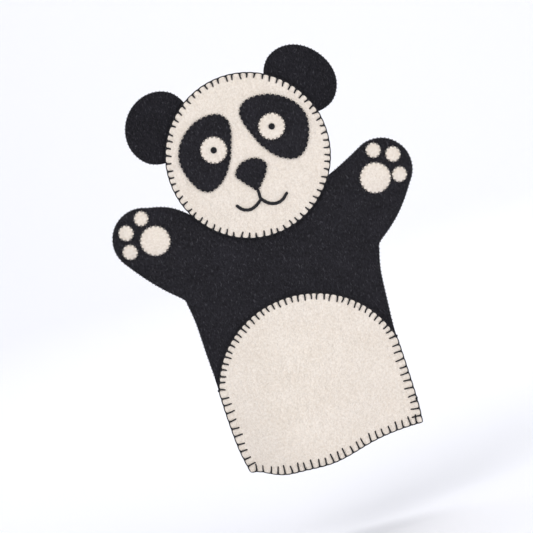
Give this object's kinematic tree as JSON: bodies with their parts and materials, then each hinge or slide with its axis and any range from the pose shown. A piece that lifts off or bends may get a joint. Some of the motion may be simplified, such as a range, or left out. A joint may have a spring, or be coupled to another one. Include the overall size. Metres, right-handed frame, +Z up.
{
  "type": "hand puppet",
  "caption": "Felt glove puppet of a bear: a pouch body open at the hem, raised paws with pads, and a round two-layer head with ears and a stitched face.",
  "frame": {"origin": "centre of the open hem, where the hand goes in, in the hem's plane", "axes": "+Z up the body towards the head, -Y the way the face looks, +X the puppet's own left"},
  "size_m": [0.2208, 0.0452, 0.2815],
  "materials": {
    "black_felt": "matt wool felt, near black",
    "cream_felt": "matt wool felt, warm off-white",
    "black_thread": "stranded cotton thread, black"
  },
  "bodies": {
    "torso": {"back_hem_stitch": "black_thread", "belly_blanket_stitch": "black_thread", "belly_panel": "cream_felt", "chin_blanket_stitch": "black_thread", "chin_panel": "cream_felt", "left_side_seam_stitch": "black_thread", "nape_blanket_stitch": "black_thread", "nape_panel": "cream_felt", "right_side_seam_stitch": "black_thread", "torso_back_panel": "black_felt", "torso_front_panel": "black_felt"},
    "head": {"head_back_blanket_stitch": "black_thread", "head_back_panel": "cream_felt", "head_front_blanket_stitch": "black_thread", "head_front_panel": "cream_felt", "left_ear_back_root": "black_felt", "left_ear_front_root": "black_felt", "left_eye_disc": "cream_felt", "left_eye_patch": "black_felt", "left_mouth_stitch": "black_thread", "left_pupil": "black_thread", "neck_back_panel": "black_felt", "neck_front_panel": "black_felt", "nose": "black_felt", "right_ear_back_root": "black_felt", "right_ear_front_root": "black_felt", "right_eye_disc": "cream_felt", "right_eye_patch": "black_felt", "right_mouth_stitch": "black_thread", "right_pupil": "black_thread"},
    "left_arm": {"left_arm_back_panel": "black_felt", "left_arm_front_panel": "black_felt", "left_arm_seam_stitch": "black_thread", "left_palm_pad": "cream_felt", "left_toe_pad_1": "cream_felt", "left_toe_pad_2": "cream_felt", "left_toe_pad_3": "cream_felt"},
    "right_arm": {"right_arm_back_panel": "black_felt", "right_arm_front_panel": "black_felt", "right_arm_seam_stitch": "black_thread", "right_palm_pad": "cream_felt", "right_toe_pad_1": "cream_felt", "right_toe_pad_2": "cream_felt", "right_toe_pad_3": "cream_felt"},
    "left_ear": {"left_ear_back_flap": "black_felt", "left_ear_front_flap": "black_felt", "left_ear_seam_stitch": "black_thread"},
    "right_ear": {"right_ear_back_flap": "black_felt", "right_ear_front_flap": "black_felt", "right_ear_seam_stitch": "black_thread"}
  },
  "joints": [
    {"name": "neck_fold", "type": "hinge", "parent": "torso", "child": "head", "pos_m": [0, -0.01175, 0.17], "axis": [1, 0, 0], "range_deg": [-8, 50], "stiffness_Nm_per_rad": 0.03},
    {"name": "left_arm_fold", "type": "hinge", "parent": "torso", "child": "left_arm", "pos_m": [0.06476, -0.0091, 0.1585], "axis": [0.224, 0, -0.9746], "range_deg": [-8, 75], "stiffness_Nm_per_rad": 0.015},
    {"name": "right_arm_fold", "type": "hinge", "parent": "torso", "child": "right_arm", "pos_m": [-0.06476, -0.0091, 0.1585], "axis": [0.224, 0, 0.9746], "range_deg": [-8, 75], "stiffness_Nm_per_rad": 0.015},
    {"name": "left_ear_fold", "type": "hinge", "parent": "head", "child": "left_ear", "pos_m": [0.04668, 0, 0.25248], "axis": [0.6361, 0, -0.7716], "range_deg": [-30, 45], "stiffness_Nm_per_rad": 0.004},
    {"name": "right_ear_fold", "type": "hinge", "parent": "head", "child": "right_ear", "pos_m": [-0.05016, 0, 0.24783], "axis": [0.5592, 0, 0.829], "range_deg": [-30, 45], "stiffness_Nm_per_rad": 0.004}
  ]
}
